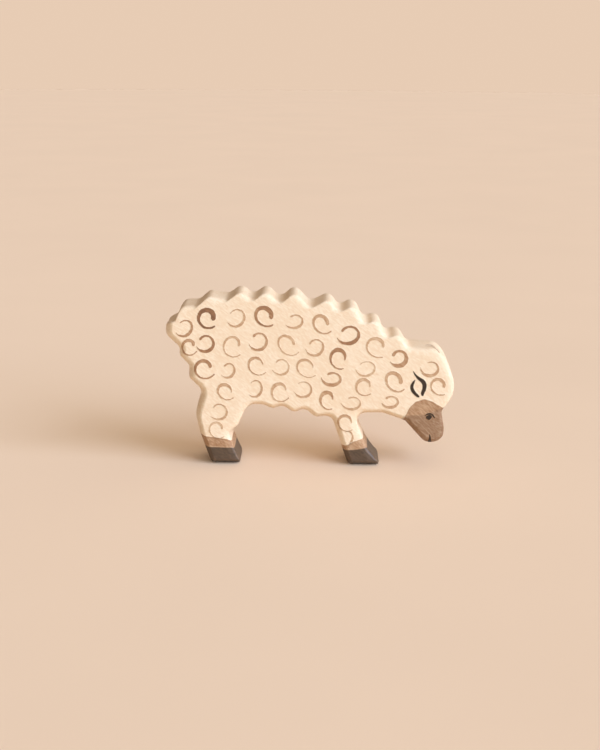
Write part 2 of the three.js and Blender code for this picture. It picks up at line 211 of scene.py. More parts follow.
# Patterns in cycles per metre: in wood and paint along the grain, through the board and across the grain.
# The brush's hairs are in cycles over a stroke's length and width.
BANDS = (14, 70, 170)
STREAKS = (640, 1500, 3200)
FINE_STREAKS = (900, 2600, 6800)
PORES = (330, 1100, 1900)
FRAY = (900, 1800, 2600)
HAIRS = (5, 11, 1)
POOLS = (260, 260, 260)
PAPER_TOOTH = (900, 900, 900)
PAPER_MOTTLE = (9, 9, 9)

# The range that most of a pattern lies in, and the depth of the relief in wood, paper and hooves
PATTERN_LOW = 0.3
PATTERN_HIGH = 0.7
RELIEF = 0.02 * MM
HOOF_RELIEF = 0.025 * MM

# How sharply the board turns where a hoof's paint starts to rub off, and where it is rubbed most
RUBBED_TURN = (math.radians(4), math.radians(20))

# Kinds of sockets on node groups
COLOR = "NodeSocketColor"
VALUE = "NodeSocketFloat"


class SheepShape(bpy.types.PropertyGroup):
    """Shape of the board and thickness of the paint on it."""

    facet: FloatProperty(
        name="Facet", description="Longest facet of the saw line before it is rounded",
        default=1.2 * MM, min=0.2 * MM, unit="LENGTH", subtype="DISTANCE")
    edge_flat: FloatProperty(
        name="Edge flat", description="Strip beside the chamfer that keeps the sawn side flat",
        default=0.5 * MM, min=0.1 * MM, unit="LENGTH", subtype="DISTANCE")
    face_border: FloatProperty(
        name="Face border", description="Border that keeps each face of the board flat",
        default=0.12 * MM, min=0.01 * MM, unit="LENGTH", subtype="DISTANCE")
    wobble: FloatProperty(
        name="Wobble", description="How far the hand-sanded edge strays from the saw line",
        default=0.14 * MM, min=0, unit="LENGTH", subtype="DISTANCE")
    wobble_length: FloatProperty(
        name="Wobble length", description="Length over which the edge strays",
        default=6 * MM, min=MM, unit="LENGTH", subtype="DISTANCE")
    film: FloatProperty(
        name="Film", description="Height of the paint above the wood",
        default=0.03 * MM, min=0.005 * MM, unit="LENGTH", subtype="DISTANCE")
    soak: FloatProperty(
        name="Soak", description="Depth that the paint soaks into the wood",
        default=0.06 * MM, min=0.02 * MM, unit="LENGTH", subtype="DISTANCE")


class SheepPaint(bpy.types.PropertyGroup):
    """Colours of the wood and of the paint."""

    wood_pale: FloatVectorProperty(
        name="Pale wood", description="Early wood between the streaks",
        default=(0.912, 0.760, 0.576), min=0, max=1, subtype="COLOR")
    wood_deep: FloatVectorProperty(
        name="Deep wood", description="Late wood along the streaks",
        default=(0.842, 0.644, 0.440), min=0, max=1, subtype="COLOR")
    fleck: FloatVectorProperty(
        name="Fleck", description="Short pores in the wood",
        default=(0.760, 0.500, 0.290), min=0, max=1, subtype="COLOR")
    end_grain: FloatVectorProperty(
        name="End grain", description="What the darker end grain lets through",
        default=(0.80, 0.74, 0.68), min=0, max=1, subtype="COLOR")
    stain: FloatVectorProperty(
        name="Brown stain", description="What one coat of the brown wash lets through",
        default=(0.538, 0.412, 0.328), min=0, max=1, subtype="COLOR")
    curl_stain: FloatVectorProperty(
        name="Curl stain", description="What one coat of the wool's own wash lets through",
        default=(0.538, 0.394, 0.298), min=0, max=1, subtype="COLOR")
    # A grey that the muzzle's wash is multiplied by below its grey edge, making the lower muzzle darker
    # and greyer
    muzzle_grey: FloatVectorProperty(
        name="Second coat", description="What the greyer second coat on the muzzle lets through",
        default=(0.75, 0.755, 0.78), min=0, max=1, subtype="COLOR")
    pigment: FloatVectorProperty(
        name="Pigment", description="What the brown wash comes to after many coats",
        default=(0.135, 0.084, 0.048), min=0, max=1, subtype="COLOR")
    hoof: FloatVectorProperty(
        name="Hoof", description="Dark paint of the hooves",
        default=(0.098, 0.059, 0.034), min=0, max=1, subtype="COLOR")
    mark: FloatVectorProperty(
        name="Mark", description="Dark paint of ears, eyes and mouth",
        default=(0.038, 0.022, 0.013), min=0, max=1, subtype="COLOR")
    muzzle_coats: FloatProperty(
        name="Muzzle coats", description="Coats of brown wash on the muzzle", default=1.42, min=0)
    sock_coats: FloatProperty(
        name="Sock coats", description="Coats of brown wash above the hooves", default=1.36, min=0)


class SheepStudio(bpy.types.PropertyGroup):
    """Floor, light and air of the studio."""

    floor: FloatVectorProperty(
        name="Floor", description="Colour of the paper floor",
        default=(0.908, 0.718, 0.541), min=0, max=1, subtype="COLOR")
    key: FloatProperty(
        name="Key light", description="Level of the soft light from the right, as a share of full",
        default=1.06, min=0, max=4, subtype="FACTOR")
    key_color: FloatVectorProperty(
        name="Key colour", description="Colour of the key light",
        default=(0.648, 0.769, 1.0), min=0, max=1, subtype="COLOR")
    key_rise: FloatProperty(
        name="Key rise", description="Height of the key light above the floor",
        default=math.radians(24), subtype="ANGLE", unit="ROTATION")
    key_turn: FloatProperty(
        name="Key turn", description="How far the key light stands in front of the right-hand side",
        default=math.radians(30), subtype="ANGLE", unit="ROTATION")
    key_spread: FloatProperty(
        name="Key spread", description="Width of the key light as seen from the figure",
        default=math.radians(44), subtype="ANGLE", unit="ROTATION")
    fill: FloatProperty(
        name="Fill light", description="Level of the wide light from the front, as a share of full",
        default=0.20, min=0, max=4, subtype="FACTOR")
    fill_color: FloatVectorProperty(
        name="Fill colour", description="Colour of the fill light",
        default=(0.60, 0.915, 1.0), min=0, max=1, subtype="COLOR")
    horizon: FloatVectorProperty(
        name="Horizon", description="Colour of the wall behind the floor, as it shows",
        default=(0.802, 0.606, 0.459), min=0, max=1, subtype="COLOR")
    air: FloatProperty(
        name="Air", description="Level of the light from all round, as a share of full",
        default=1.0, min=0, max=4, subtype="FACTOR")
    air_right: FloatVectorProperty(
        name="Air right", description="Colour of the light from all round, on the bright side of the room",
        default=(1.0, 0.867, 0.716), min=0, max=1, subtype="COLOR")
    air_left: FloatVectorProperty(
        name="Air left", description="Colour of the light from all round, on the dark side of the room",
        default=(0.166, 0.086, 0.045), min=0, max=1, subtype="COLOR")


def flat_point(place):
    """A place on the board as a 2-D vector, in metres."""
    return Vector(place) * MM


def board_place(point):
    """A point in space as a 2-D place on the board."""
    return Vector((point.x, point.z))


def clamped(share):
    """A share kept between 0 and 1."""
    return min(max(share, 0), 1)


def smooth_step(share):
    """A share kept between 0 and 1, and eased at both ends."""
    share = clamped(share)
    return share * share * (3 - 2 * share)


def through(points, share):
    """The place at that share of a smooth path through the points."""
    last = len(points) - 1
    reach = share * last
    first = min(int(max(reach, 0)), last - 1)
    t = reach - first
    before, start, end, after = (points[min(max(first + i, 0), last)] for i in (-1, 0, 1, 2))
    bend = 2 * before - 5 * start + 4 * end - after
    curl = 3 * (start - end) + after - before
    return start + 0.5 * t * ((end - before) + t * (bend + t * curl))


def eased(values, share):
    """The value at that share of a row of values, eased from one to the next."""
    reach = clamped(share) * (len(values) - 1)
    first = min(int(reach), len(values) - 2)
    t = smooth_step(reach - first)
    return values[first] * (1 - t) + values[first + 1] * t


def depth_right_of(edge, place):
    """How far a place lies to the right of an edge, in metres. It is negative on the left."""
    depth = math.inf
    for start, end in zip(edge, edge[1:]):
        share = intersect_point_line(place, start, end)[1]
        gap = (place - start.lerp(end, clamped(share))).length
        if gap < abs(depth):
            depth = gap if (end - start).cross(place - start) < 0 else -gap
    return depth


def add_object(bm, name, material):
    """Turns a bmesh into an object in the scene."""
    mesh = bpy.data.meshes.new(name)
    bm.to_mesh(mesh)
    bm.free()
    mesh.shade_smooth()
    mesh.materials.append(material)
    added = bpy.data.objects.new(name, mesh)
    bpy.context.scene.collection.objects.link(added)
    return added


def make_piece(bm, name, material, nodes=()):
    """Turns a bmesh into a piece that rides on the figure and stands for those solids."""
    piece = add_object(bm, name, material)
    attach(piece, "root")
    if nodes:
        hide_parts(*nodes)
    return piece


def cut(bm, place, normal, clear=False):
    """Cuts a mesh along a plane, and clears what is in front of the plane if asked to."""
    bmesh.ops.bisect_plane(
        bm, geom=bm.verts[:] + bm.edges[:] + bm.faces[:], dist=WELD, plane_co=place, plane_no=normal,
        clear_outer=clear)


# The board


def column_edges(edge):
    """The edges across one column of a tube of quads, from an edge on its rim to the other rim."""
    edges = [edge]
    loop = edge.link_loops[0]
    while True:
        loop = loop.link_loop_next.link_loop_next
        edges.append(loop.edge)
        if loop.edge.is_boundary:
            return edges
        loop = loop.link_loop_radial_next


def split_long_columns(bm, longest):
    """Splits the columns of a tube of quads that are wider than the longest facet."""
    rim = [e for e in bm.edges if e.is_boundary and e.verts[0].co.y < 0]
    for edges in [column_edges(edge) for edge in rim]:
        width = max(e.calc_length() for e in edges)
        if width > longest:
            bmesh.ops.subdivide_edges(bm, edges=edges, cuts=int(width / longest), use_grid_fill=True)


def sawn_edge(shape):
    """The sawn side of the board with its broken edges, as a tube of quads without the two faces."""
    bm = bmesh.new()
    bm.from_mesh(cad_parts["wooden_body"].data)
    bmesh.ops.remove_doubles(bm, verts=bm.verts, dist=WELD)
    bmesh.ops.dissolve_limit(bm, angle_limit=FLAT_ANGLE, verts=bm.verts, edges=bm.edges)
    board_faces = [f for f in bm.faces if all(abs(v.co.y) > HALF_BOARD - WELD for v in f.verts)]
    bmesh.ops.delete(bm, geom=board_faces, context="FACES")
    flat = HALF_BOARD - CHAMFER_DEPTH - shape.edge_flat
    for share in (-1, -0.5, 0, 0.5, 1):
        cut(bm, (0, share * flat, 0), (0, 1, 0))
    split_long_columns(bm, shape.facet)
    return bm


def round_facets(bm):
    """Rounds the facets of a mesh by one step of subdivision."""
    mesh = bpy.data.meshes.new("rough")
    bm.to_mesh(mesh)
    rough = bpy.data.objects.new("rough", mesh)
    bpy.context.scene.collection.objects.link(rough)
    rounding = rough.modifiers.new("rounding", "SUBSURF")
    rounding.levels = 1
    rounding.render_levels = 1
    bm.clear()
    bm.from_object(rough, bpy.context.evaluated_depsgraph_get())
    bpy.data.objects.remove(rough)
    bpy.data.meshes.remove(mesh)


def close_faces(bm, border):
    """Closes the two faces of the board, each with a narrow border so that it shades flat."""
    rim_verts = [v for v in bm.verts if v.is_boundary]
    bmesh.ops.remove_doubles(bm, verts=rim_verts, dist=border / 2)
    rim_edges = [e for e in bm.edges if e.is_boundary]
    faces = bmesh.ops.holes_fill(bm, edges=rim_edges, sides=0)["faces"]
    bmesh.ops.recalc_face_normals(bm, faces=bm.faces)
    bmesh.ops.inset_region(bm, faces=faces, thickness=border, use_boundary=True, use_even_offset=True)


def sand_by_hand(bm, shape):
    """Lets the edge stray a little, as sanding by hand does, with the soles and faces left flat."""
    bm.normal_update()
    for v in bm.verts:
        stray = noise.noise(v.co / shape.wobble_length)
        stray += RIPPLE_SHARE * noise.noise(v.co * RIPPLE_RATE / shape.wobble_length)
        steady = min(v.co.z / SOLE_FADE, 1)
        v.co += Vector((v.normal.x, 0, v.normal.z)) * stray * steady * shape.wobble


# Paint


def film_height(shape, depth, margin):
    """Height of the paint at that depth inside its edge: it sinks into the wood at the outer margin."""
    rise = smooth_step((depth + margin) / (margin / 2))
    return rise * (1 + EDGE_SINK) * shape.film - EDGE_SINK * shape.film


def make_film(bm, shape, name, material, nodes=()):
    """Turns a bmesh into a film of paint, with its thickness down into the wood."""
    film = make_piece(bm, name, material, nodes)
    thickness = film.modifiers.new("paint thickness", "SOLIDIFY")
    thickness.thickness = shape.soak
    thickness.offset = -1


def raise_film(bm, shape, edge, second_edge, margin, lift):
    """Raises a film of paint off the wood by its depth inside an edge.

    It carries that depth, its depth inside a second edge, and how sharply the board turns there.
    """
    depth_layer = bm.verts.layers.float.new("paint_depth")
    second_layer = bm.verts.layers.float.new("second_depth")
    turn_layer = bm.verts.layers.float.new("turn")
    bm.normal_update()
    for v in bm.verts:
        place = board_place(v.co)
        depth = depth_right_of(edge, place)
        v[depth_layer] = depth / MM
        if second_edge:
            v[second_layer] = depth_right_of(second_edge, place) / MM
        normals = [face.normal for face in v.link_faces]
        v[turn_layer] = max(a.angle(b, 0) for a in normals for b in normals)
        v.co += v.normal * (film_height(shape, depth, margin) + lift)


def wash_patch(shape, x_span, z_span, edge, margin, lift=0, second_edge=()):
    """A film of paint over the part of the board that is inside a box and right of an edge."""
    edge = [flat_point(place) for place in edge]
    second_edge = [flat_point(place) for place in second_edge]
    spans = ((Vector((1, 0, 0)), x_span), (Vector((0, 0, 1)), z_span))
    bm = bmesh.new()
    bm.from_mesh(bpy.data.objects[BODY].data)
    for axis, (low, high) in spans:
        cut(bm, axis * low * MM, -axis, clear=True)
        cut(bm, axis * high * MM, axis, clear=True)
    for start, end in zip(edge, edge[1:]):
        left = (end - start).orthogonal().normalized()
        beside = start + left * margin
        cut(bm, (beside.x, 0, beside.y), (left.x, 0, left.y))
    for axis, (low, high) in spans:
        for step in range(1, int((high - low) * MM / WASH_FACET)):
            cut(bm, axis * (low * MM + step * WASH_FACET), axis)
    middles = [(face, board_place(face.calc_center_median())) for face in bm.faces]
    outside = [face for face, middle in middles if depth_right_of(edge, middle) < -margin]
    bmesh.ops.delete(bm, geom=outside, context="FACES")
    raise_film(bm, shape, edge, second_edge, margin, lift)
    return bm


def board_tree():
    """The dressed board as a tree that rays can be cast at."""
    return BVHTree.FromObject(bpy.data.objects[BODY], bpy.context.evaluated_depsgraph_get())


def onto_face(tree, side):
    """Finds the place and normal on one face of the board, or on its broken edge, from X and Z."""
    def find(place):
        start = Vector((place.x, side * 3 * HALF_BOARD, place.y))
        spot, normal, _, _ = tree.ray_cast(start, Vector((0, -side, 0)))
        if spot is None:
            start.y = side * HALF_BOARD
            spot, normal, _, _ = tree.find_nearest(start)
        return spot, normal
    return find


def onto_crown(tree):
    """Finds the place and normal on top of the board from X and Y."""
    def find(place):
        start = Vector((place.x, place.y, 2 * BOARD_HIGH.z))
        spot, normal, _, _ = tree.ray_cast(start, Vector((0, 0, -1)))
        return spot, normal
    return find


def start_strokes():
    """An empty mesh with the layers that brush strokes need."""
    bm = bmesh.new()
    bm.verts.layers.float.new("paint_depth")
    bm.verts.layers.float.new("paint_coats")
    bm.loops.layers.uv.new("stroke")
    return bm


def lay_stroke(bm, shape, find, path, half, margin, facets, coats=1.0, lift=0, open_end=False):
    """Lays one brush stroke on the board.

    path and half give the middle of the stroke and its half width at a share of its length.
    Both ends are round, unless the last one is left open.
    """
    depth_layer = bm.verts.layers.float["paint_depth"]
    coats_layer = bm.verts.layers.float["paint_coats"]
    along, across = facets
    nib = 0.5 / along
    steps = [path(i / along) for i in range(along + 1)]
    length = sum((b - a).length for a, b in zip(steps, steps[1:]))
    first_reach = END_REACH * (half(0) + margin)
    last_reach = 0 if open_end else END_REACH * (half(1) + margin)
    grid = bmesh.ops.create_grid(bm, x_segments=along, y_segments=across, size=1, calc_uvs=True)
    for v in grid["verts"]:
        run = (v.co.x + 1) / 2 * (length + first_reach + last_reach) - first_reach
        share = clamped(run / length)
        past = min(run, 0) + max(run - length, 0)
        heading = (path(min(share + nib, 1)) - path(max(share - nib, 0))).normalized()
        offset = v.co.y * math.sqrt((half(share) + margin) ** 2 - past ** 2)
        depth = half(share) - math.hypot(past, offset)
        spot, normal = find(path(share) + heading * past + heading.orthogonal() * offset)
        v[depth_layer] = depth / MM
        v[coats_layer] = coats
        v.co = spot + normal * (film_height(shape, depth, margin) + lift)


def strokes_face_out(bm, outwards):
    """Turns the strokes' faces away from the wood."""
    bm.normal_update()
    bmesh.ops.reverse_faces(bm, faces=[f for f in bm.faces if f.normal.dot(outwards) < 0])


def path_of(points):
    """A path function through places given in millimetres."""
    places = [flat_point(p) for p in points]
    return lambda share: through(places, share)


def brush_of(halves):
    """A half-width function from values in millimetres."""
    return lambda share: eased(halves, share) * MM


def curl_path(form, middle, reach, first, last, lean):
    """The path of one wool curl: an open ring whose start hooks in and whose end swings out."""
    _, hook, swing = CURL_FORMS[form]

    def path(share):
        angle = math.radians(first + (last - first) * share)
        hooked = hook * max(1 - share / HOOK_END, 0) ** 2
        swung = swing * max((share - SWING_START) / (1 - SWING_START), 0) ** 2
        ring = 1 - hooked + swung
        x = reach.x * ring * math.cos(angle)
        z = reach.y * ring * math.sin(angle)
        return middle + Vector((x + lean * z, z))
    return path


def wool_curls(shape, tree, side, stray):
    """All the wool curls on one face of the board, each off its place by chance times the stray."""
    bm = start_strokes()
    chance = random.Random(CURL_SEED)
    for form, x, z, width, height, coats, brush, first, last, lean in WOOL_CURLS:
        drift = [stray * chance.uniform(-1, 1) for _ in range(6)]
        middle = flat_point((x + STRAY_PLACE * drift[0], z + STRAY_PLACE * drift[1]))
        reach = flat_point((width / 2 - BRUSH_INSET * brush, height / 2 - BRUSH_INSET * brush))
        first += STRAY_ANGLE * drift[2]
        last += STRAY_ANGLE * drift[3]
        lean += STRAY_LEAN * drift[4]
        brush *= 1 + STRAY_BRUSH * drift[5]
        path = curl_path(form, middle, reach, first, last, lean)
        half = brush_of([brush * pressure for pressure in CURL_FORMS[form][0]])
        lay_stroke(bm, shape, onto_face(tree, side), path, half, CURL_MARGIN, CURL_FACETS, coats=coats)
    strokes_face_out(bm, Vector((0, side, 0)))
    return bm


# Materials


def feed(tree, node, inputs):
    """Gives a node its inputs. Each is a value, or another node's output to link."""
    for socket, value in inputs.items():
        if isinstance(value, bpy.types.NodeSocket):
            tree.links.new(value, node.inputs[socket])
        else:
            node.inputs[socket].default_value = value


def add_node(tree, kind, inputs=None, **settings):
    """Adds a shader node with its settings and inputs."""
    node = tree.nodes.new("ShaderNode" + kind)
    for name, value in settings.items():
        setattr(node, name, value)
    feed(tree, node, inputs or {})
    return node


def calculate(tree, operation, *values, clamp=False):
    """The result of a math node."""
    node = add_node(tree, "Math", dict(enumerate(values)), operation=operation, use_clamp=clamp)
    return node.outputs[0]


def spread(tree, value, low, high, to_low=0.0, to_high=1.0, smooth=False):
    """A value mapped from one range to another."""
    inputs = {"Value": value, "From Min": low, "From Max": high, "To Min": to_low, "To Max": to_high}
    kind = "SMOOTHSTEP" if smooth else "LINEAR"
    return add_node(tree, "MapRange", inputs, interpolation_type=kind).outputs["Result"]


def vary(tree, pattern, low, high):
    """A pattern mapped from the range that most of it lies in to another range."""
    return spread(tree, pattern, PATTERN_LOW, PATTERN_HIGH, to_low=low, to_high=high)


def blend(tree, share, first, second, mode="MIX"):
    """Two colours blended by a share."""
    node = add_node(tree, "Mix", {0: share, 6: first, 7: second}, data_type="RGBA", blend_type=mode)
    return node.outputs[2]


def scaled(tree, color, share):
    """A colour times a share."""
    return add_node(tree, "VectorMath", {0: color, "Scale": share}, operation="SCALE").outputs[0]


def carried(tree, name):
    """A value that the piece's own vertices carry."""
    return add_node(tree, "Attribute", attribute_name=name).outputs["Fac"]


def object_place(tree):
    """Object coordinates."""
    return add_node(tree, "TexCoord").outputs["Object"]


def along_grain(tree):
    """Object coordinates turned so that X runs along the grain."""
    inputs = {"Vector": object_place(tree), "Rotation": (0, GRAIN_TILT, 0)}
    return add_node(tree, "Mapping", inputs).outputs[0]


def clouds(tree, vector, scale, detail=2.0, rough=0.5):
    """A noise texture stretched by a scale for each axis."""
    stretched = add_node(tree, "Mapping", {"Vector": vector, "Scale": scale}).outputs[0]
    inputs = {"Vector": stretched, "Scale": 1.0, "Detail": detail, "Roughness": rough}
    return add_node(tree, "TexNoise", inputs).outputs["Fac"]


def new_group(name, inputs, outputs):
    """An empty shader node group with named sockets, what it takes in, and the node for its outputs."""
    group = bpy.data.node_groups.new(name, "ShaderNodeTree")
    for way, sockets in (("INPUT", inputs), ("OUTPUT", outputs)):
        for socket, kind in sockets.items():
            group.interface.new_socket(socket, in_out=way, socket_type=kind)
    return group, group.nodes.new("NodeGroupInput").outputs, group.nodes.new("NodeGroupOutput")


def use_group(tree, name, inputs=None):
    """Places a shader node group in a tree and gives its outputs."""
    return add_node(tree, "Group", inputs, node_tree=bpy.data.node_groups[name]).outputs


def opaque(color):
    """A colour property with full alpha, as colour sockets take it."""
    return (*color, 1.0)


def make_wood_group(paint):
    """Wood grain along the board's own diagonal: bands, streaks, short pores and darker end grain."""
    outputs = {"Color": COLOR, "Pores": VALUE, "Streaks": VALUE, "Height": VALUE, "Roughness": VALUE}
    tree, _, put = new_group("wood_grain", {}, outputs)
    along = along_grain(tree)
    bands = clouds(tree, along, BANDS)
    streaks = clouds(tree, along, STREAKS, rough=0.6)
    fine = clouds(tree, along, FINE_STREAKS)
    pores = spread(tree, clouds(tree, along, PORES, detail=1.0), 0.67, 0.76, smooth=True)
    tone = calculate(tree, "MULTIPLY_ADD", bands, 0.35, streaks)
    tone = calculate(tree, "MULTIPLY_ADD", fine, 0.30, tone)
    tone = spread(tree, tone, 0.67, 0.93, smooth=True)
    wood = blend(tree, tone, opaque(paint.wood_pale), opaque(paint.wood_deep))
    wood = blend(tree, calculate(tree, "MULTIPLY", pores, 0.50), wood, opaque(paint.fleck))
    facing = add_node(tree, "NewGeometry").outputs["Normal"]
    fibre = (math.cos(GRAIN_TILT), 0, math.sin(GRAIN_TILT))
    across = add_node(tree, "VectorMath", {0: facing, 1: fibre}, operation="DOT_PRODUCT").outputs["Value"]
    end_grain = spread(tree, calculate(tree, "ABSOLUTE", across), 0.40, 0.95, to_high=0.60, smooth=True)
    wood = blend(tree, end_grain, wood, opaque(paint.end_grain), mode="MULTIPLY")
    relief = calculate(tree, "MULTIPLY_ADD", fine, 0.5, streaks)
    relief = calculate(tree, "MULTIPLY_ADD", pores, -0.8, relief)
    shine = vary(tree, streaks, 0.50, 0.62)
    feed(tree, put, dict(zip(outputs, (wood, pores, streaks, relief, shine))))


def make_brush_group():
    """Where paint covers: the depth inside its edge, frayed along the grain, and a darker dried rim."""
    inputs = {"Fray": VALUE, "Softness": VALUE, "Rim": VALUE}
    tree, take, put = new_group("brush_edge", inputs, {"Cover": VALUE, "Rim": VALUE})
    fray = clouds(tree, along_grain(tree), FRAY, detail=3.0, rough=0.6)
    fray = calculate(tree, "SUBTRACT", fray, 0.5)
    frayed = calculate(tree, "MULTIPLY_ADD", fray, take["Fray"], carried(tree, "paint_depth"))
    below = calculate(tree, "MULTIPLY", take["Softness"], -1.0)
    cover = spread(tree, frayed, below, take["Softness"], smooth=True)
    rim = spread(tree, frayed, take["Rim"], 0.0, smooth=True)
    feed(tree, put, {"Cover": cover, "Rim": calculate(tree, "MULTIPLY", rim, cover)})


def make_stain_group(paint):
    """Brown wash over wood: each coat lets the stain's colour through once, and pores take up more."""
    inputs = {"Wood": COLOR, "Stain": COLOR, "Pores": VALUE, "Coats": VALUE}
    tree, take, put = new_group("brown_stain", inputs, {"Color": COLOR})
    soaked = calculate(tree, "MULTIPLY_ADD", take["Pores"], 0.5, 1.0)
    coats = calculate(tree, "MULTIPLY", soaked, take["Coats"])
    shows = add_node(tree, "Gamma", {"Color": take["Stain"], "Gamma": coats}).outputs[0]
    layers = {1: shows, 4: paint.pigment, 5: take["Wood"]}
    mixed = add_node(tree, "Mix", layers, data_type="VECTOR", factor_mode="NON_UNIFORM").outputs[1]
    feed(tree, put, {"Color": mixed})


def new_material(name):
    """A material with one surface shader, its node tree and that shader."""
    material = bpy.data.materials.new(name)
    material.use_nodes = True
    return material, material.node_tree, material.node_tree.nodes["Principled BSDF"]


def finish_surface(tree, shader, color, roughness, height, depth=RELIEF, strength=0.6, sheen=0.3):
    """Gives a surface shader its colour, roughness, relief and sheen."""
    inputs = {"Height": height, "Distance": depth, "Strength": strength}
    relief = add_node(tree, "Bump", inputs).outputs["Normal"]
    looks = {"Base Color": color, "Roughness": roughness, "Normal": relief, "Specular IOR Level": sheen}
    feed(tree, shader, looks)


def wood_material():
    """Bare sanded wood."""
    material, tree, shader = new_material("bare_wood")
    wood = use_group(tree, "wood_grain")
    finish_surface(tree, shader, wood["Color"], wood["Roughness"], wood["Height"])
    return material


def wash_color(tree, wood, stain, coats, mottle=0.2):
    """Bare wood under a brown wash of that many coats, a little mottled."""
    uneven = vary(tree, wood["Streaks"], 1 - mottle, 1 + mottle)
    coats = calculate(tree, "MULTIPLY", coats, uneven)
    inputs = {"Wood": wood["Color"], "Stain": opaque(stain), "Pores": wood["Pores"], "Coats": coats}
    return use_group(tree, "brown_stain", inputs)["Color"]


def wash_material(name, paint, coats, second=False):
    """A translucent brown wash with a frayed edge, a darker rim, and, if asked for, a darker and greyer
    colour below a second edge.
    """
    material, tree, shader = new_material(name)
    wood = use_group(tree, "wood_grain")
    brush = use_group(tree, "brush_edge", {"Fray": 0.55, "Softness": 0.12, "Rim": 0.5})
    rim = calculate(tree, "MULTIPLY_ADD", brush["Rim"], 0.22 * coats, coats)
    laid = calculate(tree, "MULTIPLY", rim, brush["Cover"])
    color = wash_color(tree, wood, paint.stain, laid, mottle=0.36)
    if second:
        # Darker, greyer colour over the lower muzzle, below its second edge
        depth = calculate(tree, "ADD", carried(tree, "second_depth"), wood["Streaks"])
        cover = spread(tree, depth, 0.0, 1.0, smooth=True)
        color = blend(tree, cover, color, opaque(paint.muzzle_grey), mode="MULTIPLY")
    finish_surface(tree, shader, color, wood["Roughness"], wood["Height"])
    return material


def hoof_material(paint):
    """Dark paint over the brown wash, thin enough to show the grain and rubbed where the board turns."""
    material, tree, shader = new_material("hoof_paint")
    wood = use_group(tree, "wood_grain")
    brush = use_group(tree, "brush_edge", {"Fray": 0.45, "Softness": 0.10, "Rim": 0.4})
    under = wash_color(tree, wood, paint.stain, paint.sock_coats)
    worn = spread(tree, wood["Streaks"], 0.35, 0.75, to_low=0.70, to_high=1.45)
    rubbed = spread(tree, carried(tree, "turn"), *RUBBED_TURN, to_high=0.40)
    rubbed = calculate(tree, "MULTIPLY", rubbed, spread(tree, wood["Streaks"], 0.35, 0.65))
    cover = calculate(tree, "SUBTRACT", brush["Cover"], rubbed, clamp=True)
    color = blend(tree, cover, under, scaled(tree, paint.hoof, worn))
    shine = calculate(tree, "SUBTRACT", wood["Roughness"], 0.1)
    finish_surface(tree, shader, color, shine, wood["Height"], depth=HOOF_RELIEF, sheen=0.5)
    return material


def mark_material(name, paint, under_coats):
    """Dark brushed marks on bare wood or on the brown wash."""
    material, tree, shader = new_material(name)
    wood = use_group(tree, "wood_grain")
    brush = use_group(tree, "brush_edge", {"Fray": 0.28, "Softness": 0.10, "Rim": 0.3})
    under = wash_color(tree, wood, paint.stain, under_coats)
    worn = spread(tree, wood["Streaks"], 0.3, 0.75, to_low=0.75, to_high=1.6)
    color = blend(tree, brush["Cover"], under, scaled(tree, paint.mark, worn))
    finish_surface(tree, shader, color, wood["Roughness"], wood["Height"])
    return material


def curl_material(paint):
    """Brown wash brushed in curls: thin where the brush ran dry, darker at the rim."""
    material, tree, shader = new_material("wool_curl_wash")
    wood = use_group(tree, "wood_grain")
    brush = use_group(tree, "brush_edge", {"Fray": 0.66, "Softness": 0.09, "Rim": 0.24})
    stroke = add_node(tree, "UVMap", uv_map="stroke").outputs["UV"]
    load = vary(tree, clouds(tree, stroke, HAIRS), 0.72, 1.12)
    pool = vary(tree, clouds(tree, object_place(tree), POOLS, detail=1.0), 0.8, 1.15)
    load = calculate(tree, "MULTIPLY", load, pool)
    load = calculate(tree, "MULTIPLY_ADD", brush["Rim"], 0.50, load)
    load = calculate(tree, "MULTIPLY", load, carried(tree, "paint_coats"))
    laid = calculate(tree, "MULTIPLY", load, brush["Cover"])
    color = wash_color(tree, wood, paint.curl_stain, laid, mottle=0.24)
    finish_surface(tree, shader, color, wood["Roughness"], wood["Height"])
    return material


def floor_material(studio):
    """Matt paper with a faint tooth."""
    material, tree, shader = new_material("studio_paper")
    place = object_place(tree)
    tooth = clouds(tree, place, PAPER_TOOTH, detail=3.0)
    shade = vary(tree, clouds(tree, place, PAPER_MOTTLE), 0.99, 1.01)
    color = scaled(tree, studio.floor, shade)
    finish_surface(tree, shader, color, 0.95, tooth, strength=0.2, sheen=0.1)
    return material


def wall_material(studio):
    """Paper that shows as bright as the floor, whichever way it bends."""
    material, tree, shader = new_material("studio_horizon")
    glow = {"Emission Color": opaque(studio.horizon), "Emission Strength": 1}
    feed(tree, shader, {"Base Color": opaque((0, 0, 0)), "Specular IOR Level": 0, **glow})
    return material


# Operators


class SHEEP_OT_board(bpy.types.Operator):
    """Make the sawn board of grained wood"""

    bl_idname = "sheep.board"
    bl_label = "Board"

    def execute(self, context):
        shape = context.scene.sheep_shape
        make_wood_group(context.scene.sheep_paint)
        make_brush_group()
        make_stain_group(context.scene.sheep_paint)
        bm = sawn_edge(shape)
        round_facets(bm)
        close_faces(bm, shape.face_border)
        sand_by_hand(bm, shape)
        make_piece(bm, BODY, wood_material(), ["wooden_body"])
        return {"FINISHED"}


class SHEEP_OT_muzzle(bpy.types.Operator):
    """Wash the muzzle brown"""

    bl_idname = "sheep.muzzle"
    bl_label = "Muzzle"

    def execute(self, context):
        shape = context.scene.sheep_shape
        paint = context.scene.sheep_paint
        material = wash_material("muzzle_wash", paint, paint.muzzle_coats, second=True)
        bm = wash_patch(shape, *MUZZLE_BOX, MUZZLE_EDGE, WASH_MARGIN, second_edge=MUZZLE_GREY_EDGE)
        make_film(bm, shape, "muzzle_wash", material, ["muzzle_coat"])
        return {"FINISHED"}


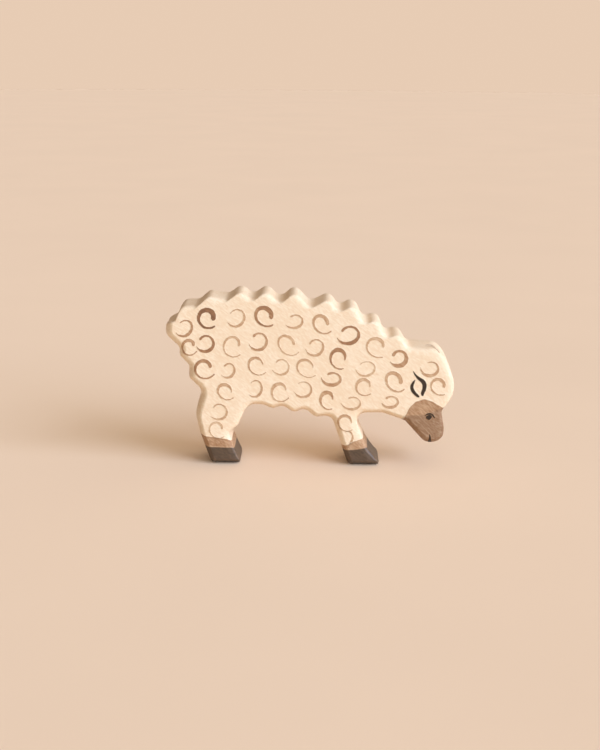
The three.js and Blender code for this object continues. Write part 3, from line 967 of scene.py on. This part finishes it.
class SHEEP_OT_legs(bpy.types.Operator):
    """Wash the socks brown and paint the hooves dark"""

    bl_idname = "sheep.legs"
    bl_label = "Socks and hooves"

    def execute(self, context):
        shape = context.scene.sheep_shape
        paint = context.scene.sheep_paint
        hoof = hoof_material(paint)
        for leg, (x_span, coats, sock_edge, hoof_edge) in LEGS.items():
            sock = wash_material(f"{leg}_sock_wash", paint, coats * paint.sock_coats)
            bm = wash_patch(shape, x_span, LEG_SPAN, sock_edge, WASH_MARGIN)
            make_film(bm, shape, f"{leg}_sock_wash", sock, [f"{leg}_sock_coat"])
            bm = wash_patch(shape, x_span, LEG_SPAN, hoof_edge, HOOF_MARGIN, lift=shape.film)
            make_film(bm, shape, f"{leg}_hoof_paint", hoof, [f"{leg}_hoof_coat"])
        return {"FINISHED"}


class SHEEP_OT_marks(bpy.types.Operator):
    """Paint the ears, eyes and mouths"""

    bl_idname = "sheep.marks"
    bl_label = "Ears, eyes and mouths"

    def execute(self, context):
        shape = context.scene.sheep_shape
        paint = context.scene.sheep_paint
        on_wood = mark_material("ear_paint", paint, 0.0)
        on_wash = mark_material("face_paint", paint, paint.muzzle_coats)
        tree = board_tree()
        marks = [
            ("ear_front_stroke", on_wood, 0, [(EAR_FRONT, EAR_FRONT_BRUSH, False)]),
            ("ear_rear_stroke", on_wood, 0, [(EAR_REAR, EAR_REAR_BRUSH, False)]),
            ("eye", on_wash, 1, [(LASH, LASH_BRUSH, False), (PUPIL, PUPIL_BRUSH, False)]),
            ("mouth", on_wash, 1, [(MOUTH, MOUTH_BRUSH, True)]),
        ]
        for side_name, side in SIDES.items():
            find = onto_face(tree, side)
            for name, material, layers, strokes in marks:
                bm = start_strokes()
                for order, (points, halves, open_end) in enumerate(strokes):
                    lift = (layers + OVERLAP_LIFT * order) * shape.film
                    lay_stroke(bm, shape, find, path_of(points), brush_of(halves), MARK_MARGIN,
                               MARK_FACETS, lift=lift, open_end=open_end)
                strokes_face_out(bm, Vector((0, side, 0)))
                node = f"{side_name}_{name}"
                make_film(bm, shape, f"{node}_paint", material, [node])
        return {"FINISHED"}


class SHEEP_OT_wool(bpy.types.Operator):
    """Brush the wool curls on both faces, and the dry strokes on the crown"""

    bl_idname = "sheep.wool"
    bl_label = "Wool curls"

    def execute(self, context):
        shape = context.scene.sheep_shape
        tree = board_tree()
        material = curl_material(context.scene.sheep_paint)
        for side_name, side in SIDES.items():
            bm = wool_curls(shape, tree, side, stray=max(side, 0))
            make_film(bm, shape, f"{side_name}_wool_curls", material)
        bm = start_strokes()
        for points in CROWN_MARKS:
            lay_stroke(bm, shape, onto_crown(tree), path_of(points), brush_of(CROWN_BRUSH), CROWN_MARGIN,
                       CROWN_FACETS, coats=CROWN_COATS)
        strokes_face_out(bm, Vector((0, 0, 1)))
        make_film(bm, shape, "crown_brush_marks", material)
        return {"FINISHED"}


class SHEEP_OT_studio(bpy.types.Operator):
    """Lay the paper floor, set the lights and place the camera"""

    bl_idname = "sheep.studio"
    bl_label = "Studio"

    FLOOR_REACH = 3.2
    BEND_REACH = 2.0
    WALL_HEIGHT = 1.5
    ROUND_STEPS = 96
    BEND_STEPS = 32
    # turn, rise and spread of the fill light
    FILL = (math.radians(85), math.radians(12), math.radians(60))
    CAMERA_PLACE = (0.00520, -0.54200, 0.17362)
    CAMERA_FALL = math.radians(14.3)
    CAMERA_TURN = math.radians(-1.0)
    CAMERA_ROLL = math.radians(0.45)
    CAMERA_LENS = 66.34

    def lay_paper(self, name, bm, material):
        """Turns a profile into a round sheet of paper about the figure."""
        bmesh.ops.spin(bm, geom=bm.verts[:] + bm.edges[:], cent=(0, 0, 0), axis=(0, 0, 1),
                       angle=math.tau, steps=self.ROUND_STEPS, use_merge=True)
        bmesh.ops.remove_doubles(bm, verts=bm.verts, dist=WELD)
        bmesh.ops.recalc_face_normals(bm, faces=bm.faces)
        lowest = min(bm.faces, key=lambda face: face.calc_center_median().z)
        if lowest.normal.z < 0:
            bmesh.ops.reverse_faces(bm, faces=bm.faces)
        paper = add_object(bm, name, material)
        paper.visible_shadow = False
        return paper

    def lay_floor(self, studio):
        """A round floor, and a wall that bends up from it and only closes the view."""
        bm = bmesh.new()
        bm.edges.new([bm.verts.new((reach, 0, 0)) for reach in (0, self.FLOOR_REACH)])
        self.lay_paper("studio_floor", bm, floor_material(studio))
        bm = bmesh.new()
        foot = bm.verts.new((self.FLOOR_REACH, 0, 0))
        bend = bmesh.ops.spin(
            bm, geom=[foot], cent=(self.FLOOR_REACH, 0, self.BEND_REACH), axis=(0, -1, 0),
            angle=math.radians(90), steps=self.BEND_STEPS)
        top = [v for v in bend["geom_last"] if isinstance(v, bmesh.types.BMVert)]
        top = bmesh.ops.extrude_vert_indiv(bm, verts=top)["verts"]
        bmesh.ops.translate(bm, verts=top, vec=(0, 0, self.WALL_HEIGHT))
        wall = self.lay_paper("studio_wall", bm, wall_material(studio))
        wall.visible_diffuse = False
        wall.visible_glossy = False

    def hang_light(self, name, level, color, turn, rise, spread_angle):
        """A distant soft light. Its turn is measured from the right-hand side towards the camera."""
        data = bpy.data.lights.new(name, "SUN")
        data.energy = level * math.pi
        data.color = color
        data.angle = spread_angle
        light = bpy.data.objects.new(name, data)
        reach = math.cos(rise)
        place = Vector((reach * math.cos(turn), -reach * math.sin(turn), math.sin(rise)))
        light.rotation_mode = "QUATERNION"
        light.rotation_quaternion = place.to_track_quat("Z", "Y")
        bpy.context.scene.collection.objects.link(light)

    def fill_room(self, scene, studio):
        """Light from all round, from the bright side of the room on the right to the dark side."""
        world = bpy.data.worlds.new("studio_air")
        world.use_nodes = True
        tree = world.node_tree
        heading = add_node(tree, "TexCoord").outputs["Generated"]
        rightness = add_node(tree, "SeparateXYZ", {0: heading}).outputs["X"]
        share = spread(tree, rightness, -1.0, 1.0)
        air = blend(tree, share, opaque(studio.air_left), opaque(studio.air_right))
        feed(tree, tree.nodes["Background"], {"Color": air, "Strength": studio.air})
        scene.world = world

    def place_camera(self, scene):
        """The camera as it stood before the figure, a little above it."""
        data = bpy.data.cameras.new("camera")
        data.lens = self.CAMERA_LENS
        camera = bpy.data.objects.new("camera", data)
        fall, turn = self.CAMERA_FALL, self.CAMERA_TURN
        reach = math.cos(fall)
        ahead = Vector((math.sin(turn) * reach, math.cos(turn) * reach, -math.sin(fall)))
        level = ahead.to_track_quat("-Z", "Y")
        camera.location = self.CAMERA_PLACE
        camera.rotation_mode = "QUATERNION"
        camera.rotation_quaternion = level @ Quaternion((0, 0, 1), self.CAMERA_ROLL)
        scene.collection.objects.link(camera)
        scene.camera = camera

    def execute(self, context):
        scene = context.scene
        studio = scene.sheep_studio
        self.lay_floor(studio)
        key = (studio.key_turn, studio.key_rise, studio.key_spread)
        self.hang_light("key_light", studio.key, studio.key_color, *key)
        self.hang_light("fill_light", studio.fill, studio.fill_color, *self.FILL)
        self.fill_room(scene, studio)
        scene.view_settings.view_transform = "Standard"
        self.place_camera(scene)
        return {"FINISHED"}


class SHEEP_PT_panel(bpy.types.Panel):
    """The steps that build the sheep, in order"""

    bl_label = "Wooden Sheep"
    bl_idname = "SHEEP_PT_panel"
    bl_space_type = "VIEW_3D"
    bl_region_type = "UI"
    bl_category = "Sheep"

    def draw(self, context):
        for step in STEPS:
            self.layout.operator(step.bl_idname)


STEPS = (SHEEP_OT_studio, SHEEP_OT_board, SHEEP_OT_muzzle, SHEEP_OT_legs, SHEEP_OT_marks, SHEEP_OT_wool)
GROUPS = {"sheep_shape": SheepShape, "sheep_paint": SheepPaint, "sheep_studio": SheepStudio}
CLASSES = (*GROUPS.values(), *STEPS, SHEEP_PT_panel)


def register():
    for item in CLASSES:
        bpy.utils.register_class(item)
    for name, group in GROUPS.items():
        setattr(bpy.types.Scene, name, PointerProperty(type=group))


def unregister():
    for name in GROUPS:
        delattr(bpy.types.Scene, name)
    for item in reversed(CLASSES):
        bpy.utils.unregister_class(item)


def main():
    register()
    bpy.ops.sheep.studio()
    bpy.ops.sheep.board()
    bpy.ops.sheep.muzzle()
    bpy.ops.sheep.legs()
    bpy.ops.sheep.marks()
    bpy.ops.sheep.wool()


if __name__ == "__main__":
    main()
